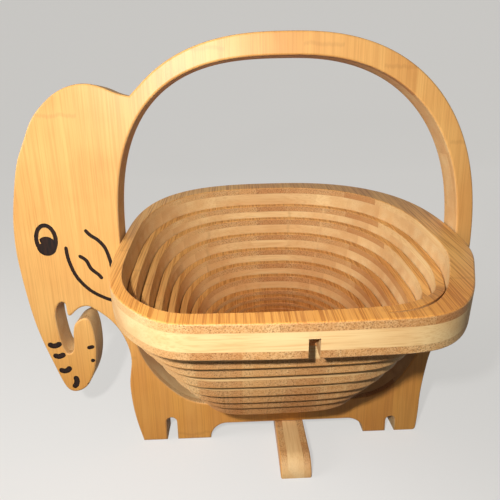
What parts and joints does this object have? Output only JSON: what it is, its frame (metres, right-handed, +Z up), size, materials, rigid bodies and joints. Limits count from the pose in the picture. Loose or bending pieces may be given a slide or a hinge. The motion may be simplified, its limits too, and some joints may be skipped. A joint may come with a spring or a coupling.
{
  "type": "folding fruit basket",
  "caption": "Folding bamboo fruit basket in the outline of an elephant; its spiral-cut belly swings out on pins and drops into a bowl, and a foot bar turns out under it.",
  "frame": {"origin": "centre of the foot bar's underside on the table, below the middle of the opening", "axes": "+X along the board to the elephant's rear, +Y across the board to the back of the bowl, +Z up"},
  "size_m": [0.264, 0.2063, 0.2444],
  "materials": {
    "board_bamboo": "satin",
    "bowl_bamboo": "satin",
    "steel": "satin"
  },
  "bodies": {
    "frame": {"elephant_frame": "board_bamboo", "pivot_pin_left": "steel", "pivot_pin_right": "steel", "foot_screw": "steel"},
    "rim": {"rim": "bowl_bamboo"},
    "turn_1": {"spiral_turn_1": "bowl_bamboo"},
    "turn_2": {"spiral_turn_2": "bowl_bamboo"},
    "turn_3": {"spiral_turn_3": "bowl_bamboo"},
    "turn_4": {"spiral_turn_4": "bowl_bamboo"},
    "turn_5": {"spiral_turn_5": "bowl_bamboo"},
    "turn_6": {"spiral_turn_6": "bowl_bamboo"},
    "turn_7": {"spiral_turn_7": "bowl_bamboo"},
    "turn_8": {"spiral_turn_8": "bowl_bamboo"},
    "turn_9": {"spiral_turn_9": "bowl_bamboo"},
    "turn_10": {"spiral_turn_10": "bowl_bamboo", "base_plate": "bowl_bamboo"},
    "foot": {"foot": "board_bamboo"}
  },
  "joints": [
    {"name": "rim_swing", "type": "hinge", "parent": "frame", "child": "rim", "pos_m": [0, 0, 0.1273], "axis": [1, 0, 0], "range_deg": [-66, 82.3]},
    {"name": "turn_1_drop", "type": "slide", "parent": "rim", "child": "turn_1", "axis": [0, -0.1236, 0.9923], "range_m": [0, 0.0125]},
    {"name": "turn_2_drop", "type": "slide", "parent": "turn_1", "child": "turn_2", "axis": [0, -0.1236, 0.9923], "range_m": [0, 0.0088]},
    {"name": "turn_3_drop", "type": "slide", "parent": "turn_2", "child": "turn_3", "axis": [0, -0.1236, 0.9923], "range_m": [0, 0.0104]},
    {"name": "turn_4_drop", "type": "slide", "parent": "turn_3", "child": "turn_4", "axis": [0, -0.1236, 0.9923], "range_m": [0, 0.01]},
    {"name": "turn_5_drop", "type": "slide", "parent": "turn_4", "child": "turn_5", "axis": [0, -0.1236, 0.9923], "range_m": [0, 0.0088]},
    {"name": "turn_6_drop", "type": "slide", "parent": "turn_5", "child": "turn_6", "axis": [0, -0.1236, 0.9923], "range_m": [0, 0.0083]},
    {"name": "turn_7_drop", "type": "slide", "parent": "turn_6", "child": "turn_7", "axis": [0, -0.1236, 0.9923], "range_m": [0, 0.0092]},
    {"name": "turn_8_drop", "type": "slide", "parent": "turn_7", "child": "turn_8", "axis": [0, -0.1236, 0.9923], "range_m": [0, 0.0025]},
    {"name": "turn_9_drop", "type": "slide", "parent": "turn_8", "child": "turn_9", "axis": [0, -0.1236, 0.9923], "range_m": [0, 0.002]},
    {"name": "turn_10_drop", "type": "slide", "parent": "turn_9", "child": "turn_10", "axis": [0, -0.1236, 0.9923], "range_m": [0, 0.0016]},
    {"name": "foot_swivel", "type": "hinge", "parent": "frame", "child": "foot", "pos_m": [0, 0, 0], "axis": [0, 0, 1], "range_deg": [-90, 90]}
  ],
  "couplings": [
    {"joint": "turn_2_drop", "follows": "turn_1_drop", "ratio": 0.704},
    {"joint": "turn_3_drop", "follows": "turn_1_drop", "ratio": 0.832},
    {"joint": "turn_4_drop", "follows": "turn_1_drop", "ratio": 0.8},
    {"joint": "turn_5_drop", "follows": "turn_1_drop", "ratio": 0.704},
    {"joint": "turn_6_drop", "follows": "turn_1_drop", "ratio": 0.664},
    {"joint": "turn_7_drop", "follows": "turn_1_drop", "ratio": 0.736},
    {"joint": "turn_8_drop", "follows": "turn_1_drop", "ratio": 0.2},
    {"joint": "turn_9_drop", "follows": "turn_1_drop", "ratio": 0.16},
    {"joint": "turn_10_drop", "follows": "turn_1_drop", "ratio": 0.128}
  ]
}
